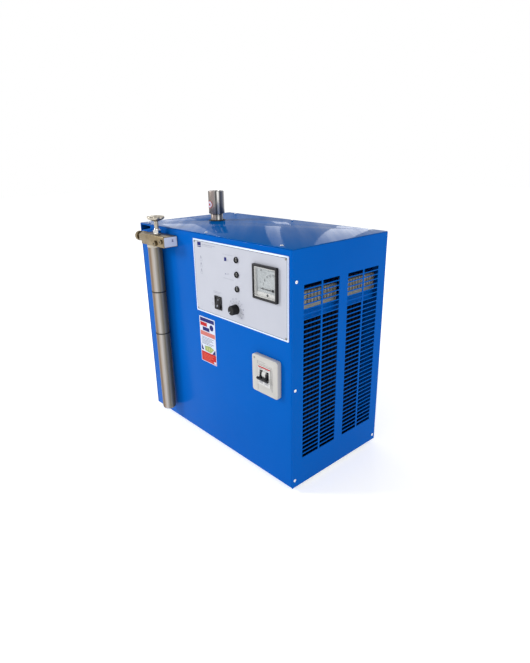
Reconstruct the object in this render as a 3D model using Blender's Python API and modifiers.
"""Refrigerated compressed-air dryer in a sheet-metal cabinet.

Everything is laid out in millimetres in cabinet coordinates: X runs to the right
seen from the front, Y runs from the front panel (0) to the back, Z runs up from the
cabinet's lower edge. to_world() moves that onto the floor frame, in metres.
"""

import math

import bmesh
import bpy
from mathutils import Euler, Matrix, Vector

MM = 0.001
WELD = 0.00001

# cabinet
CAB_W = 565.0
CAB_D = 299.0
CAB_H = 530.0
SHEET = 1.5
GAP = 0.3
FLANGE = 18.0
FOOT_H = 10.0
FOOT_R = 16.0
FOOT_X = 237.0
FOOT_Y = (45.0, 254.0)
FRONT_REACH = 45.0
BACK_REACH = 30.0
Y_SHIFT = -(CAB_D + BACK_REACH - FRONT_REACH) / 2.0
PAN_H = 24.0

# grille in the right-hand panel, two banks of two slot columns; the left has its lower rows
SLOT_ROWS = 38
SLOT_PITCH = 10.33
SLOT_H = 8.1
SLOT_LEN = 51.3
SLOT_START = (31.0, 66.6)
COLUMN_STEP = 55.8
BANK_STEP = 134.5
VENT_ROWS = 18

# low-head screws that hold the side panels, as (y, z)
SIDE_SCREWS = ((10.0, 466.5), (8.0, 238.0), (8.0, 18.0), (290.0, 14.0))
SCREW_R = 3.8
SCREW_H = 1.6

# tapered notch at the top left of the front pan, as (x, z) corners
NOTCH = ((-290.0, 526.0), (-290.0, 508.0), (-232.0, 519.6), (-232.0, 524.8))

# control fascia and its instruments
FASCIA_X = (-39.5, 273.0)
FASCIA_Z = (344.0, 516.0)
FASCIA_T = 1.5
METER_C = (210.0, 453.8)
METER_SIZE = 72.0
METER_FRAME = 4.8
METER_BODY = 66.8
METER_PROUD = 6.0
METER_PIVOT = (231.0, 440.8)
NEEDLE_LEN = 39.0
LAMP_X = 118.0
LAMP_Z = (487.0, 455.4, 423.8)
LAMP_R = 6.8
ROCKER_C = (48.0, 378.8)
ROCKER_SIZE = (25.6, 31.6)
ROCKER_TILT = -11.0
KNOB_C = (112.0, 377.6)
KNOB_R = 11.4
KNOB_LEN = 16.0

# miniature circuit breaker in its cover
BREAKER_C = (210.0, 252.5)
BREAKER_W = 79.0
BREAKER_H = 85.0
BREAKER_T = 10.0
TOGGLE_AXIS = (-5.6, 256.0)
TOGGLE_R = 9.6
TOGGLE_DROP = 38.0

# in-line filter standing through the top cover
FILTER_C = (-159.0, 160.0)
FILTER_R = 22.0
FILTER_Z = 372.0
NECK_R = 15.8
CAP_R = 20.7
CAP_Z = (548.2, 606.0)

# moisture separator on the front
TUBE_C = (-183.0, -20.0)
TUBE_R = 17.5
TUBE_Z = (30.0, 487.7)
STRAP_Z = (366.0, 253.0)
HEAD_X = (-213.0, -107.5)
HEAD_Y = (-39.0, -0.4)
HEAD_Z = (488.0, 514.0)
HEAD_PORTS_X = (-200.0, -130.0)
WHEEL_C = (-166.0, -20.0)
WHEEL_R = 21.5
WHEEL_Z = (550.0, 557.6)
SIDE_AXIS = (-20.0, 501.0)
SIDE_KNOB_X = (-258.5, -247.5)

# electrical gear
SHELF_Z = 396.6
ROW_Y = (50.0, 184.0)
ROW_LEN = 100.0
ROW_PITCH = 10.0
ROW_GAP = 4.4
GLAND_C = (150.0, 60.0)

# refrigeration and air side
COMP_C = (-20.0, 160.0)
COND_X = (214.0, 244.0)
COND_Y = (78.0, 274.0)
COND_Z = (26.0, 372.0)
COND_FINS = 16
FAN_C = (176.0, 205.0)
FAN_R = 84.0
FAN_X = 177.0
FAN_BLADES = 5
HX_X = (-266.0, -204.0)
HX_Y = (110.0, 276.0)
HX_Z = (50.0, 330.0)
DRIER_C = (80.0, 58.0)
PORTS = {"inlet": (-235.0, 420.0), "outlet": (-159.0, 470.0)}
PORT_BORE_R = 9.5
AIR_PIPE_R = 8.0

# colour, metallic and roughness of each finish
MATERIALS = {
    "blue_paint": ((0.012, 0.145, 0.62, 1.0), 0.0, 0.22),
    "white_plate": ((0.78, 0.80, 0.84, 1.0), 0.0, 0.4),
    "black_plastic": ((0.012, 0.012, 0.014, 1.0), 0.0, 0.38),
    "grey_plastic": ((0.62, 0.63, 0.62, 1.0), 0.0, 0.45),
    "dial_white": ((0.86, 0.86, 0.84, 1.0), 0.0, 0.5),
    "clear": ((0.9, 0.92, 0.92, 0.35), 0.0, 0.05),
    "stainless": ((0.60, 0.58, 0.55, 1.0), 1.0, 0.24),
    "nickel_brass": ((0.46, 0.38, 0.26, 1.0), 1.0, 0.32),
    "chrome_steel": ((0.72, 0.71, 0.69, 1.0), 1.0, 0.15),
    "brass": ((0.72, 0.52, 0.22, 1.0), 1.0, 0.3),
    "copper": ((0.75, 0.36, 0.2, 1.0), 1.0, 0.3),
    "galvanised": ((0.55, 0.57, 0.58, 1.0), 1.0, 0.45),
    "dark_steel": ((0.02, 0.021, 0.024, 1.0), 0.3, 0.5),
    "black_rubber": ((0.015, 0.015, 0.015, 1.0), 0.0, 0.75),
    "fan_plastic": ((0.03, 0.03, 0.032, 1.0), 0.0, 0.5),
    "foam": ((0.03, 0.03, 0.03, 1.0), 0.0, 0.95),
    "filter_fibre": ((0.8, 0.78, 0.7, 1.0), 0.0, 0.9),
}

# how a turned body lies along each axis, and how a flat outline faces it
ALONG = {
    "X": (0.0, math.radians(90.0), 0.0),
    "Y": (math.radians(-90.0), 0.0, 0.0),
    "Z": (0.0, 0.0, 0.0),
}
FACING = {
    "X": (math.radians(90.0), 0.0, math.radians(90.0)),
    "Y": (math.radians(90.0), 0.0, 0.0),
    "Z": (0.0, 0.0, 0.0),
}


def to_world(x, y, z):
    """Cabinet millimetres to world metres."""
    return Vector((x * MM, (y + Y_SHIFT) * MM, (z + FOOT_H) * MM))


def on_axis(axis, centre, height):
    """World point at a height along X, Y or Z, where centre gives the two other coordinates."""
    a, b = centre
    if axis == "X":
        return to_world(height, a, b)
    if axis == "Y":
        return to_world(a, height, b)
    return to_world(a, b, height)


def mid(pair):
    return (pair[0] + pair[1]) / 2.0


def around(centre, half):
    """(low, high) pair about a centre."""
    return (centre - half, centre + half)


def material(name):
    mat = bpy.data.materials.get(name)
    if mat is None:
        color, metallic, roughness = MATERIALS[name]
        mat = bpy.data.materials.new(name)
        mat.use_nodes = True
        shader = mat.node_tree.nodes["Principled BSDF"]
        shader.inputs["Base Color"].default_value = color
        shader.inputs["Metallic"].default_value = metallic
        shader.inputs["Roughness"].default_value = roughness
        shader.inputs["Alpha"].default_value = color[3]
        mat.diffuse_color = color
    return mat


def new_collection(name):
    coll = bpy.data.collections.new(name)
    bpy.context.scene.collection.children.link(coll)
    return coll


def adopt(obj, name, finish):
    """File a new object with the parts, or with the hidden cutters if it has no finish."""
    obj.name = name
    obj.data.name = name
    for coll in list(obj.users_collection):
        coll.objects.unlink(obj)
    if finish is None:
        obj.display_type = "WIRE"
        obj.hide_render = True
        CUTTERS.objects.link(obj)
    else:
        obj.data.materials.append(material(finish))
        PART.objects.link(obj)
    return obj


def box(name, x, y, z, finish=None):
    """Box between the (low, high) pairs of each axis, its origin at its middle."""
    bpy.ops.mesh.primitive_cube_add(size=1.0, location=to_world(mid(x), mid(y), mid(z)))
    obj = bpy.context.object
    obj.scale = Vector((x[1] - x[0], y[1] - y[0], z[1] - z[0])) * MM
    bpy.ops.object.transform_apply(location=False, rotation=False, scale=True)
    return adopt(obj, name, finish)


def bar(name, axis, centre, radius, low, high, finish=None, sides=24, twist=0.0):
    """Round bar along an axis, or a many-sided one with few sides turned by twist degrees."""
    bpy.ops.mesh.primitive_cylinder_add(
        vertices=sides,
        radius=radius * MM,
        depth=(high - low) * MM,
        location=on_axis(axis, centre, mid((low, high))),
        rotation=ALONG[axis],
    )
    obj = bpy.context.object
    obj.data.transform(Matrix.Rotation(math.radians(twist), 4, "Z"))
    if sides > 8:
        obj.data.shade_smooth()
        obj.data.set_sharp_from_angle(angle=math.radians(35.0))
    return adopt(obj, name, finish)


def hexagon(name, axis, centre, across_flats, low, high, finish=None, twist=0.0):
    return bar(name, axis, centre, across_flats / math.sqrt(3.0), low, high, finish, 6, twist)


def knurled(name, axis, centre, radius, low, high, finish, grooves, depth, per_groove=2):
    """Round bar whose rim is drawn in by depth at each groove."""
    obj = bar(name, axis, centre, radius, low, high, finish, grooves * per_groove)
    for vert in obj.data.vertices:
        angle = math.atan2(vert.co.x, vert.co.y)
        dip = depth * (1.0 - math.cos(grooves * angle)) / 2.0
        vert.co.xy *= 1.0 - dip / radius
    return obj


def turned(name, axis, centre, profile, finish=None, steps=32, ring=False, base=None):
    """Body turned about an axis from (radius, height) points; a ring's profile closes on itself."""
    area = sum(a[0] * b[1] - b[0] * a[1] for a, b in zip(profile, profile[1:] + profile[:1]))
    if area > 0.0:
        profile = profile[::-1]
    if base is None:
        base = profile[0][1]
    points = [(r * MM, 0.0, (h - base) * MM) for r, h in profile]
    edges = [(i, i + 1) for i in range(len(points) - 1)]
    if ring:
        edges.append((len(points) - 1, 0))
    mesh = bpy.data.meshes.new(name)
    mesh.from_pydata(points, edges, [])
    obj = bpy.data.objects.new(name, mesh)
    obj.location = on_axis(axis, centre, base)
    obj.rotation_euler = ALONG[axis]
    screw = obj.modifiers.new("turn", "SCREW")
    screw.steps = steps
    screw.render_steps = steps
    screw.use_merge_vertices = True
    screw.merge_threshold = WELD
    return adopt(obj, name, finish)


def meshed(source):
    """Mesh object in place of a curve object, its caps welded on."""
    bpy.context.view_layer.update()
    graph = bpy.context.evaluated_depsgraph_get()
    mesh = bpy.data.meshes.new_from_object(source.evaluated_get(graph))
    bm = bmesh.new()
    bm.from_mesh(mesh)
    bmesh.ops.remove_doubles(bm, verts=bm.verts, dist=WELD)
    bmesh.ops.dissolve_limit(bm, angle_limit=math.radians(1.0), verts=bm.verts, edges=bm.edges)
    bmesh.ops.recalc_face_normals(bm, faces=bm.faces)
    bm.to_mesh(mesh)
    bm.free()
    obj = bpy.data.objects.new("meshed", mesh)
    obj.matrix_world = source.matrix_world
    bpy.data.objects.remove(source)
    return obj


def plate(name, axis, outline, low, high, finish=None, origin=(0.0, 0.0)):
    """Flat outline given in the two other coordinates, as thick as low to high along an axis."""
    curve = bpy.data.curves.new(name, "CURVE")
    curve.dimensions = "2D"
    curve.fill_mode = "BOTH"
    curve.extrude = (high - low) / 2.0 * MM
    spline = curve.splines.new("POLY")
    spline.points.add(len(outline) - 1)
    for point, (u, v) in zip(spline.points, outline):
        point.co = ((u - origin[0]) * MM, (v - origin[1]) * MM, 0.0, 1.0)
    spline.use_cyclic_u = True
    flat = bpy.data.objects.new(name, curve)
    flat.location = on_axis(axis, origin, mid((low, high)))
    flat.rotation_euler = FACING[axis]
    bpy.context.scene.collection.objects.link(flat)
    return adopt(meshed(flat), name, finish)


def rounded(u, v, radius, steps=4):
    """Outline of a rectangle with round corners."""
    corners = (
        (u[1] - radius, v[1] - radius),
        (u[0] + radius, v[1] - radius),
        (u[0] + radius, v[0] + radius),
        (u[1] - radius, v[0] + radius),
    )
    outline = []
    for quarter, (cu, cv) in enumerate(corners):
        for i in range(steps + 1):
            a = math.radians(90.0) * (quarter + i / steps)
            outline.append((cu + radius * math.cos(a), cv + radius * math.sin(a)))
    return outline


def tray(name, x, y, z, open_side, finish, sheet=SHEET):
    """Folded sheet pan: a box without the face named by open_side, its skin made thick inwards."""
    obj = box(name, x, y, z, finish)
    way = Vector([0.0, 0.0, 0.0])
    way["xyz".index(open_side[1])] = 1.0 if open_side[0] == "+" else -1.0
    bm = bmesh.new()
    bm.from_mesh(obj.data)
    lid = [face for face in bm.faces if face.normal.dot(way) > 0.9]
    bmesh.ops.delete(bm, geom=lid, context="FACES")
    bm.to_mesh(obj.data)
    bm.free()
    solid = obj.modifiers.new("sheet", "SOLIDIFY")
    solid.thickness = sheet * MM
    solid.offset = -1.0
    solid.use_even_offset = True
    return obj


def round_edges(obj, width, segments=2, angle=40.0):
    bevel = obj.modifiers.new("edges", "BEVEL")
    bevel.width = width * MM
    bevel.segments = segments
    bevel.limit_method = "ANGLE"
    bevel.angle_limit = math.radians(angle)
    return obj


def swing(obj, pivot, degrees):
    """Turn an object about the line along X through the pivot's (y, z)."""
    centre = Matrix.Translation(on_axis("X", pivot, 0.0))
    turn = Matrix.Rotation(math.radians(degrees), 4, "X")
    bpy.context.view_layer.update()
    obj.matrix_world = centre @ turn @ centre.inverted() @ obj.matrix_world
    return obj


def repeat(obj, count, step):
    """Row of copies, step millimetres apart along each axis."""
    array = obj.modifiers.new("row", "ARRAY")
    array.count = count
    array.use_relative_offset = False
    array.use_constant_offset = True
    array.constant_offset_displace = Vector(step) * MM
    return obj


def combine(target, tool, operation):
    modifier = target.modifiers.new(tool.name, "BOOLEAN")
    modifier.operation = operation
    modifier.solver = "EXACT"
    modifier.object = tool


def cut(target, *tools):
    for tool in tools:
        combine(target, tool, "DIFFERENCE")


def join(target, *tools):
    for tool in tools:
        combine(target, tool, "UNION")


def pipe(name, corners, radius, bend, finish="copper"):
    """Tube along straight legs joined by rounded bends, its ends capped."""
    legs = [Vector(p) for p in corners]
    path = [legs[0]]
    steps = 4
    for before, corner, after in zip(legs, legs[1:], legs[2:]):
        back = (before - corner).normalized()
        ahead = (after - corner).normalized()
        setback = bend / math.tan(back.angle(ahead) / 2.0)
        start = corner + back * setback
        end = corner + ahead * setback
        for i in range(steps + 1):
            t = i / steps
            path.append(start * (1 - t) ** 2 + corner * 2 * t * (1 - t) + end * t ** 2)
    path.append(legs[-1])
    middle = to_world(*((path[0] + path[-1]) / 2.0))
    curve = bpy.data.curves.new(name, "CURVE")
    curve.dimensions = "3D"
    curve.bevel_depth = radius * MM
    curve.bevel_resolution = 2
    curve.use_fill_caps = True
    spline = curve.splines.new("POLY")
    spline.points.add(len(path) - 1)
    for point, place in zip(spline.points, path):
        point.co = (*(to_world(*place) - middle), 1.0)
    obj = bpy.data.objects.new(name, curve)
    obj.location = middle
    return adopt(obj, name, finish)


def feet():
    for side, x in (("left", -FOOT_X), ("right", FOOT_X)):
        for end, y in zip(("front", "back"), FOOT_Y):
            taper = [(0.0, -FOOT_H), (FOOT_R - 3.0, -FOOT_H), (FOOT_R - 1.5, 1.2 - FOOT_H)]
            pad = [(FOOT_R, 0.2), (FOOT_R, SHEET), (0.0, SHEET)]
            turned("foot_%s_%s" % (end, side), "Z", (x, y), taper + pad, "black_rubber", 24)


def front_panel(width, height):
    """Front pan with the openings that the fascia, breaker, separator and corner notch need."""
    panel = tray("front_panel", width, (0.0, FLANGE), height, "+y", "blue_paint")
    through = (-3.0, 4.0)
    bx, bz = BREAKER_C
    cut(panel, box("breaker_opening", around(bx, 20.0), through, around(bz, 24.0)))
    cut(panel, plate("corner_notch", "Y", NOTCH, through[0], FLANGE + 1.0))
    for i, x in enumerate(HEAD_PORTS_X):
        cut(panel, bar("separator_port_%d" % i, "Y", (x, SIDE_AXIS[1]), AIR_PIPE_R + 0.6, *through, None, 20))
    instrument_holes(panel, through)


def instrument_holes(sheet, through):
    """Openings for the meter, the switch, the lamps and the timer shaft, through one sheet."""
    tag = sheet.name
    mx, mz = METER_C
    half = METER_BODY / 2.0 + 0.6
    rx, rz = ROCKER_C
    rocker_w, rocker_h = ROCKER_SIZE
    half_w = rocker_w / 2 - 1.6
    half_h = rocker_h / 2 - 1.6
    cut(sheet, box(tag + "_meter_hole", around(mx, half), through, around(mz, half)))
    cut(sheet, box(tag + "_switch_hole", around(rx, half_w), through, around(rz, half_h)))
    for i, z in enumerate(LAMP_Z):
        cut(sheet, bar("%s_lamp_hole_%d" % (tag, i), "Y", (LAMP_X, z), LAMP_R - 1.2, *through, None, 20))
    cut(sheet, bar(tag + "_shaft_hole", "Y", KNOB_C, 3.6, *through, None, 16))


def back_panel(width, height):
    panel = tray("back_panel", width, (CAB_D - FLANGE, CAB_D), height, "-y", "blue_paint")
    through = (CAB_D - 4.0, CAB_D + 3.0)
    for tag, centre in PORTS.items():
        cut(panel, bar(tag + "_hole", "Y", centre, 13.4, *through))
    cut(panel, bar("gland_hole", "Y", GLAND_C, 8.4, *through, None, 20))


def side_panel(name, x, height, rows):
    """Flat side sheet with its screw heads, pierced by two banks of two columns of horizontal slots."""
    panel = box(name, x, (0.0, CAB_D), height, "blue_paint")
    outer = x[1] if x[1] > 0.0 else x[0]
    heads = (outer - 0.8, outer + SCREW_H) if outer > 0.0 else (outer - SCREW_H, outer + 0.8)
    for i, centre in enumerate(SIDE_SCREWS):
        join(panel, bar("%s_screw_%d" % (name, i), "X", centre, SCREW_R, *heads, None, 12))
    y, z = SLOT_START
    slot = box(name + "_slots", (x[0] - 3.0, x[1] + 3.0), (y, y + SLOT_LEN), (z, z + SLOT_H))
    repeat(slot, rows, (0.0, 0.0, SLOT_PITCH))
    repeat(slot, 2, (0.0, COLUMN_STEP, 0.0))
    repeat(slot, 2, (0.0, BANK_STEP, 0.0))
    cut(panel, slot)


def top_cover():
    half = CAB_W / 2.0
    cover = box("top_cover", (-half, half), (0.0, CAB_D), (CAB_H - SHEET, CAB_H), "blue_paint")
    round_edges(cover, 0.6)
    cut(cover, bar("neck_hole", "Z", FILTER_C, NECK_R + 1.4, CAB_H - 5.0, CAB_H + 3.0, None, 32))
    inner = NECK_R + 0.4
    low = CAB_H + 0.2
    high = CAB_H + 2.6
    lip = [(inner, low), (21.5, low), (21.5, high - 1.0), (19.8, high), (inner, high)]
    turned("cap_grommet", "Z", FILTER_C, lip, "black_rubber", 32, ring=True)


def cabinet():
    half = CAB_W / 2.0
    inside = half - SHEET - GAP
    height = (0.0, CAB_H - SHEET - GAP)
    feet()
    pan_x = inside - SHEET - GAP
    pan_y = (SHEET + GAP, CAB_D - SHEET - GAP)
    tray("base_pan", (-pan_x, pan_x), pan_y, (SHEET + GAP, PAN_H), "+z", "galvanised", 2.0)
    front_panel((-inside, inside), height)
    back_panel((-inside, inside), height)
    side_panel("right_panel", (half - SHEET, half), height, SLOT_ROWS)
    side_panel("left_panel", (-half, SHEET - half), height, VENT_ROWS)
    top_cover()


def panel_meter(face):
    """Square meter with a quadrant scale, its needle pivoted low on the right."""
    mx, mz = METER_C
    half = METER_SIZE / 2.0
    front = face - METER_PROUD
    inner = half - METER_FRAME
    frame = rounded(around(mx, half), around(mz, half), 1.5, 2)
    case = plate("meter_case", "Y", frame, front, face, "black_plastic")
    body = METER_BODY / 2.0
    join(case, box("meter_body", around(mx, body), (face - 1.0, 40.0), around(mz, body)))
    cut(case, box("meter_recess", around(mx, inner), (front - 2.0, front + 7.4), around(mz, inner)))
    inner -= GAP
    dial = front + 7.2
    box("meter_dial", around(mx, inner), (dial - 1.0, dial), around(mz, inner), "dial_white")
    box("meter_window", around(mx, inner), (front + 0.6, front + 2.2), around(mz, inner), "clear")
    px, pz = METER_PIVOT
    hub_r = 3.0
    outline = []
    for i in range(13):
        a = math.radians(-150.0 + 25.0 * i)
        outline.append((px + hub_r * math.cos(a), pz + hub_r * math.sin(a)))
    tip = px - NEEDLE_LEN
    outline += [(px - 5.0, pz + 1.1), (tip, pz + 0.35), (tip, pz - 0.35), (px - 5.0, pz - 1.1)]
    plate("meter_needle", "Y", outline, dial - 2.6, dial - 1.8, "black_plastic", METER_PIVOT)


def lamp(name, centre, face):
    """Panel lamp: domed lens in a black bezel, its body behind the fascia."""
    body_r = LAMP_R - 1.5
    lens = [(0.0, face - 1.9), (3.0, face - 1.6), (4.6, face - 0.7)]
    bezel = [(4.8, face - 2.6), (5.4, face - 3.0), (6.2, face - 2.6), (LAMP_R, face - 0.6), (LAMP_R, face)]
    body = [(body_r, face), (body_r, face + 24.0), (0.0, face + 24.0)]
    turned(name, "Y", centre, lens + bezel + body, "black_plastic", 24)


def rocker_switch(face):
    rx, rz = ROCKER_C
    width, height = ROCKER_SIZE
    half_w = width / 2.0
    half_h = height / 2.0
    frame = rounded(around(rx, half_w), around(rz, half_h), 1.5, 2)
    bezel = plate("rocker_bezel", "Y", frame, face - 2.0, face, "black_plastic")
    depth = (face - 0.8, face + 22.0)
    well = (face - 5.0, face + 9.0)
    join(bezel, box("switch_body", around(rx, half_w - 1.9), depth, around(rz, half_h - 1.9)))
    cut(bezel, box("switch_well", around(rx, half_w - 3.2), well, around(rz, half_h - 2.9)))
    # a shallow V on the front, a keel behind it, resting with its top pressed in
    pivot = (face + 1.0, rz)
    reach = half_h - 3.8
    fin = [(-reach, 0.0), (-reach, -3.0), (-reach / 2, -3.6), (0.0, -2.6), (reach / 2, -3.6), (reach, -3.0)]
    keel = [(reach, 0.0), (4.0, 3.0), (-4.0, 3.0)]
    outline = [(pivot[0] + y, rz + z) for z, y in fin + keel]
    key = plate("rocker", "X", outline, rx - half_w + 3.6, rx + half_w - 3.6, "black_plastic", pivot)
    swing(round_edges(key, 0.4), pivot, ROCKER_TILT)


def drain_timer(face):
    """Potentiometer block behind the fascia and its knurled knob."""
    kx, kz = KNOB_C
    block = box("timer_module", around(kx, 18.0), (9.0, 74.0), around(kz, 22.0), "grey_plastic")
    round_edges(block, 1.0)
    front = face - KNOB_LEN
    knob = knurled("timer_knob", "Y", KNOB_C, KNOB_R, front, face - 0.4, "black_plastic", 24, 0.6)
    skirt = [(0.0, face - 2.4), (KNOB_R + 0.1, face - 2.0), (KNOB_R + 0.3, face - 0.5), (0.0, face - 0.5)]
    join(knob, turned("knob_skirt", "Y", KNOB_C, skirt, None, 32))
    join(knob, bar("knob_shaft", "Y", KNOB_C, 3.0, face - 4.0, 8.6, None, 16))


def fascia():
    front = -GAP - FASCIA_T
    sheet = plate("control_plate", "Y", rounded(FASCIA_X, FASCIA_Z, 2.0, 3), front, -GAP, "white_plate")
    instrument_holes(sheet, (front - 4.0, 4.0))
    face = front - GAP
    panel_meter(face)
    for i, z in enumerate(LAMP_Z, 1):
        lamp("lamp_%d" % i, (LAMP_X, z), face)
    rocker_switch(face)
    drain_timer(face)


def breaker():
    bx, bz = BREAKER_C
    back = -GAP
    front = back - BREAKER_T
    frame = rounded(around(bx, BREAKER_W / 2.0), around(bz, BREAKER_H / 2.0), 6.0)
    cover = plate("breaker_cover", "Y", frame, front, back, "white_plate")
    round_edges(cover, 2.4)
    cut(cover, box("breaker_window", around(bx, 19.5), (front - 5.0, back + 5.0), around(bz, 23.0)))

    wide = around(bx, 18.0)
    block = box("breaker_body", wide, (front - 1.8, 12.0), around(bz, 22.4), "grey_plastic")
    join(block, box("breaker_block", wide, (8.0, 62.0), around(bz, 40.0)))
    cut(block, bar("toggle_well", "X", TOGGLE_AXIS, TOGGLE_R + 1.6, bx - 14.2, bx + 14.2, None, 32))

    # two handles with a tie bar on one round hub, resting in the lower, off position
    ay, az = TOGGLE_AXIS
    hub = bar("breaker_toggle", "X", TOGGLE_AXIS, TOGGLE_R, bx - 13.8, bx + 13.8, "black_plastic", 32)
    for i, x in enumerate((bx - 8.9, bx + 8.9)):
        handle = box("toggle_handle_%d" % i, around(x, 4.1), (ay - 16.0, ay - 4.0), around(az, 3.0))
        join(hub, swing(handle, TOGGLE_AXIS, TOGGLE_DROP))
    tie = box("toggle_tie", around(bx, 16.6), (ay - 17.6, ay - 12.6), around(az, 3.5))
    join(hub, swing(tie, TOGGLE_AXIS, TOGGLE_DROP))


def top_filter():
    """Pressure housing hung under the cover, its threaded neck standing through, and its cap."""
    low, high = CAP_Z
    bore = 10.6
    shell = [(0.0, FILTER_Z), (NECK_R, FILTER_Z), (FILTER_R, FILTER_Z + 6.0), (FILTER_R, 522.0)]
    neck = [(19.0, 526.0), (NECK_R, 527.0), (NECK_R, low - 0.4), (13.4, low - 0.4), (13.4, 574.0), (bore, 574.0)]
    well = [(bore, FILTER_Z + 13.0), (0.0, FILTER_Z + 13.0)]
    turned("filter_housing", "Z", FILTER_C, shell + neck + well, "stainless")
    socket = [(0.0, 587.0), (13.8, 587.0), (13.8, low), (CAP_R - 1.5, low)]
    side = [(CAP_R, low + 1.4), (CAP_R, high - 9.0), (CAP_R - 1.0, high - 8.0), (CAP_R - 1.0, high - 6.6)]
    crown = [(CAP_R, high - 5.6), (CAP_R, high - 1.6), (CAP_R - 1.8, high), (0.0, high)]
    cap = turned("filter_cap", "Z", FILTER_C, socket + side + crown, "chrome_steel", 40, base=low)
    for i in range(4):
        a = math.radians(45.0 + 90.0 * i)
        notch = (FILTER_C[0] + CAP_R * math.cos(a), FILTER_C[1] + CAP_R * math.sin(a))
        cut(cap, bar("cap_notch_%d" % i, "Z", notch, 3.0, high - 4.5, high + 2.0, None, 12))
    wound = [(0.0, 400.0), (8.6, 400.0), (8.6, 578.0), (7.0, 582.7), (0.0, 582.7)]
    turned("filter_cartridge", "Z", FILTER_C, wound, "filter_fibre", 24)


def separator_body():
    low, high = TUBE_Z
    r = TUBE_R
    tube = [(0.0, low), (r - 5.0, low), (r - 1.2, low + 2.0), (r, low + 5.0), (r, high), (0.0, high)]
    turned("separator_tube", "Z", TUBE_C, tube, "stainless", 40)
    for i, z in enumerate(STRAP_Z, 1):
        band = [(r + 0.2, z - 1.3), (r + 1.0, z - 1.3), (r + 1.0, z + 1.3), (r + 0.2, z + 1.3)]
        turned("tube_strap_%d" % i, "Z", TUBE_C, band, "black_rubber", 40, ring=True)
    round_edges(box("separator_head", HEAD_X, HEAD_Y, HEAD_Z, "nickel_brass"), 1.0)
    front = HEAD_Y[0]
    plugs = (((-145.0, 495.8), 13.0, 5.6), ((-118.5, 502.0), 11.0, 4.6))
    for i, (place, across, proud) in enumerate(plugs, 1):
        hexagon("head_plug_%d" % i, "Y", place, across, front - proud, front - GAP, "brass", 10.0)


def separator_valves():
    """Bleed valve with its lobed hand wheel above the head, and a knurled valve at its left end."""
    seat = HEAD_Z[1]
    bonnet = hexagon("bleed_bonnet", "Z", WHEEL_C, 17.0, seat + 1.0, seat + 10.0, "chrome_steel", 15.0)
    join(bonnet, bar("bonnet_collar", "Z", WHEEL_C, 9.4, seat + 0.3, seat + 2.0))
    join(bonnet, bar("bonnet_top", "Z", WHEEL_C, 6.8, seat + 9.0, seat + 13.0))
    low, high = WHEEL_Z
    wheel = knurled("bleed_handwheel", "Z", WHEEL_C, WHEEL_R, low, high, "stainless", 6, 3.8, 10)
    round_edges(wheel, 1.4, 2, 60.0)
    join(wheel, bar("wheel_spindle", "Z", WHEEL_C, 5.2, seat + 13.3, low + 2.0, None, 20))

    end = HEAD_X[0] - GAP
    body = hexagon("side_valve_body", "X", SIDE_AXIS, 25.0, end - 22.7, end, "nickel_brass", 30.0)
    join(body, bar("valve_neck", "X", SIDE_AXIS, 7.5, end - 27.7, end - 20.0, None, 20))
    low, high = SIDE_KNOB_X
    knob = knurled("side_valve_knob", "X", SIDE_AXIS, 12.5, low, high, "nickel_brass", 24, 0.7)
    round_edges(knob, 0.8, 1, 60.0)
    join(knob, bar("side_spindle", "X", SIDE_AXIS, 4.0, high - 2.5, end - 28.0, None, 16))


def electrics():
    """Painted bracket with two ribbed terminal rows behind the upper slots, and the mains gland."""
    edge = 265.4
    lip = SHEET + 0.3
    outline = [(236.0, SHELF_Z - SHEET), (edge - lip, SHELF_Z - SHEET), (edge - lip, SHELF_Z - 18.0)]
    outline += [(edge, SHELF_Z - 18.0), (edge, SHELF_Z), (236.0, SHELF_Z)]
    plate("terminal_bracket", "Y", outline, 28.0, 278.9, "blue_paint")
    for tag, y in zip(("front", "rear"), ROW_Y):
        block = (SHELF_Z + 0.4, SHELF_Z + 39.4)
        row = box("terminal_row_" + tag, (240.0, 264.6), (y, y + ROW_LEN), block, "grey_plastic")
        first = y + ROW_PITCH - ROW_GAP / 2.0
        above = (SHELF_Z + 11.4, block[1] + 3.0)
        gaps = box("row_gaps_" + tag, (236.0, 268.0), (first, first + ROW_GAP), above)
        cut(row, repeat(gaps, int(ROW_LEN / ROW_PITCH) - 1, (0.0, ROW_PITCH, 0.0)))
    inner = [(0.0, 291.0), (8.0, 291.0), (8.0, CAB_D + GAP), (12.0, CAB_D + GAP), (12.0, CAB_D + 7.0)]
    outer = [(9.5, CAB_D + 8.0), (9.5, CAB_D + 16.0), (6.0, CAB_D + 19.0), (0.0, CAB_D + 19.0)]
    turned("cable_gland", "Y", GLAND_C, inner + outer, "black_plastic", 24)


def compressor():
    stand = [(0.0, 4.2), (78.0, 4.2), (78.0, 8.0), (56.0, 14.0)]
    shell = [(66.0, 30.0), (70.0, 44.0), (70.0, 118.0), (74.0, 120.0), (74.0, 126.0), (70.0, 128.0)]
    dome = [(70.0, 176.0), (62.0, 200.0), (40.0, 214.0), (0.0, 219.0)]
    turned("compressor", "Z", COMP_C, stand + shell + dome, "dark_steel", 32)


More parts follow.
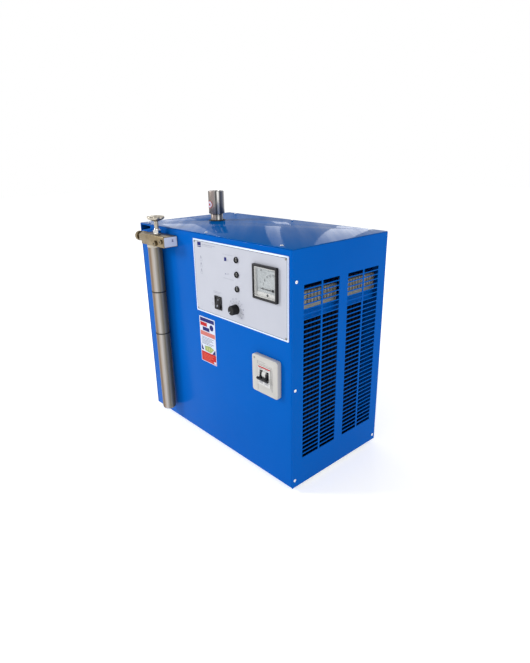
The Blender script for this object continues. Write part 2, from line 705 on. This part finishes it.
def condenser():
    """Finned block with the fan, its motor and shroud on its inner side."""
    y0, y1 = COND_Y
    block = box("condenser", COND_X, COND_Y, COND_Z, "dark_steel")
    pitch = (y1 - y0) / COND_FINS
    tall = (COND_Z[0] - 4.0, COND_Z[1] + 4.0)
    gaps = box("fin_gaps", (COND_X[0] + 8.0, COND_X[1] + 4.0), (y0 + pitch - 5.0, y0 + pitch), tall)
    cut(block, repeat(gaps, COND_FINS - 1, (0.0, pitch, 0.0)))

    wall = SHEET
    out_x = (180.0, COND_X[0] - 0.6)
    out_y = (y0 + 2.0, y1 - 2.0)
    out_z = (40.0, COND_Z[1] - 2.0)
    shroud = tray("fan_shroud", out_x, out_y, out_z, "+x", "dark_steel", wall)
    cut(shroud, bar("fan_opening", "X", FAN_C, FAN_R + 4.0, out_x[0] - 8.0, out_x[0] + 8.0, None, 40))

    fy, fz = FAN_C
    motor = [(0.0, 118.0), (30.0, 118.0), (36.0, 122.0), (36.0, 160.0), (30.0, 164.0)]
    shaft = [(8.0, 164.0), (8.0, FAN_X - 9.6), (0.0, FAN_X - 9.6)]
    drive = turned("fan_motor", "X", FAN_C, motor + shaft, "dark_steel", 30)
    join(drive, box("motor_stand", (126.0, 156.0), around(fy, 22.0), (4.2, fz - 20.0)))
    fan_rotor()


def fan_rotor():
    """Hub with flat pitched blades run into it."""
    hub = bar("fan_rotor", "X", FAN_C, 30.0, FAN_X - 9.0, FAN_X + 9.0, "fan_plastic", 30)
    leading = [(24.0, -11.0), (54.0, -22.0), (FAN_R, -26.0)]
    trailing = [(FAN_R, 20.0), (54.0, 18.0), (24.0, 11.0)]
    lie = Euler(FACING["X"]).to_matrix().to_4x4()
    pitch = Matrix.Rotation(math.radians(16.0), 4, "X")
    centre = Matrix.Translation(on_axis("X", FAN_C, FAN_X))
    for i in range(FAN_BLADES):
        blade = plate("fan_blade_%d" % i, "Z", leading + trailing, -0.9, 0.9)
        turn = Matrix.Rotation(math.tau * i / FAN_BLADES, 4, "X")
        blade.data.transform(pitch)
        blade.matrix_world = centre @ turn @ lie
        join(hub, blade)


def refrigeration():
    compressor()
    condenser()
    exchanger = box("heat_exchanger", HX_X, HX_Y, HX_Z, "foam")
    round_edges(exchanger, 6.0, 3)
    dx, dy = DRIER_C
    low = [(0.0, 96.0), (4.0, 96.0), (4.0, 102.0), (12.0, 112.0)]
    high = [(12.0, 184.0), (4.0, 194.0), (4.0, 200.0), (0.0, 200.0)]
    turned("filter_drier", "Z", DRIER_C, low + high, "copper", 20)

    cx, cy = COMP_C
    coil_x = mid(COND_X)
    over = COND_Z[1] + 18.0
    end = COND_Z[1] + GAP
    pipe("discharge_pipe", [(cx, cy, 219.3), (cx, cy, over), (coil_x, cy, over), (coil_x, cy, end)], 4.5, 14)
    front = COND_Y[0] - GAP
    pipe("liquid_pipe", [(coil_x, front, 60), (coil_x, dy, 60), (dx, dy, 60), (dx, dy, 95.7)], 3.2, 8)
    hx = -235.0
    pipe("expansion_pipe", [(dx, dy, 200.3), (dx, dy, 260), (hx, dy, 260), (hx, HX_Y[0] - GAP, 260)], 2.2, 12)
    suction = [(HX_X[1] + GAP, 210, 100), (-140, 210, 100), (-140, cy, 100), (cx - 70.4, cy, 100)]
    pipe("suction_pipe", suction, 6.0, 14)


def air_side():
    """Back ports and the pipes from the inlet through the exchanger, separator and filter to the outlet."""
    inner = CAB_D - 8.0
    outer = CAB_D + BACK_REACH
    for tag, centre in PORTS.items():
        rim = [(PORT_BORE_R, inner), (PORT_BORE_R, outer), (13.0, outer), (15.0, outer - 2.0)]
        flange = [(15.0, CAB_D + 10.0), (18.0, CAB_D + 9.0), (18.0, CAB_D + GAP)]
        tail = [(13.0, CAB_D + GAP), (13.0, inner)]
        turned("air_%s_port" % tag, "Y", centre, rim + flange + tail, "brass", 24, ring=True)
    end = inner - 0.4
    top = HX_Z[1] + GAP
    ix, iz = PORTS["inlet"]
    pipe("air_inlet_pipe", [(ix, end, iz), (ix, 240, iz), (ix, 240, top)], AIR_PIPE_R, 20)
    wet_x, feed_x = HEAD_PORTS_X
    level = SIDE_AXIS[1]
    start = -0.1
    wet = [(ix, 150, top), (ix, 150, level), (wet_x, 150, level), (wet_x, start, level)]
    pipe("wet_air_pipe", wet, AIR_PIPE_R, 14)
    fx, fy = FILTER_C
    down = FILTER_Z - 27.0
    feed = [(feed_x, start, level), (feed_x, 50, level), (feed_x, 50, down), (fx, fy, down)]
    pipe("filter_feed_pipe", feed + [(fx, fy, FILTER_Z - GAP)], AIR_PIPE_R, 14)
    ox, oz = PORTS["outlet"]
    pipe("dry_air_pipe", [(ox, fy + FILTER_R + GAP, oz), (ox, end, oz)], AIR_PIPE_R, 14)


for old in list(bpy.data.objects):
    bpy.data.objects.remove(old, do_unlink=True)
PART = new_collection("refrigerated_air_dryer")
CUTTERS = new_collection("cutters")

cabinet()
fascia()
breaker()
top_filter()
separator_body()
separator_valves()
electrics()
refrigeration()
air_side()
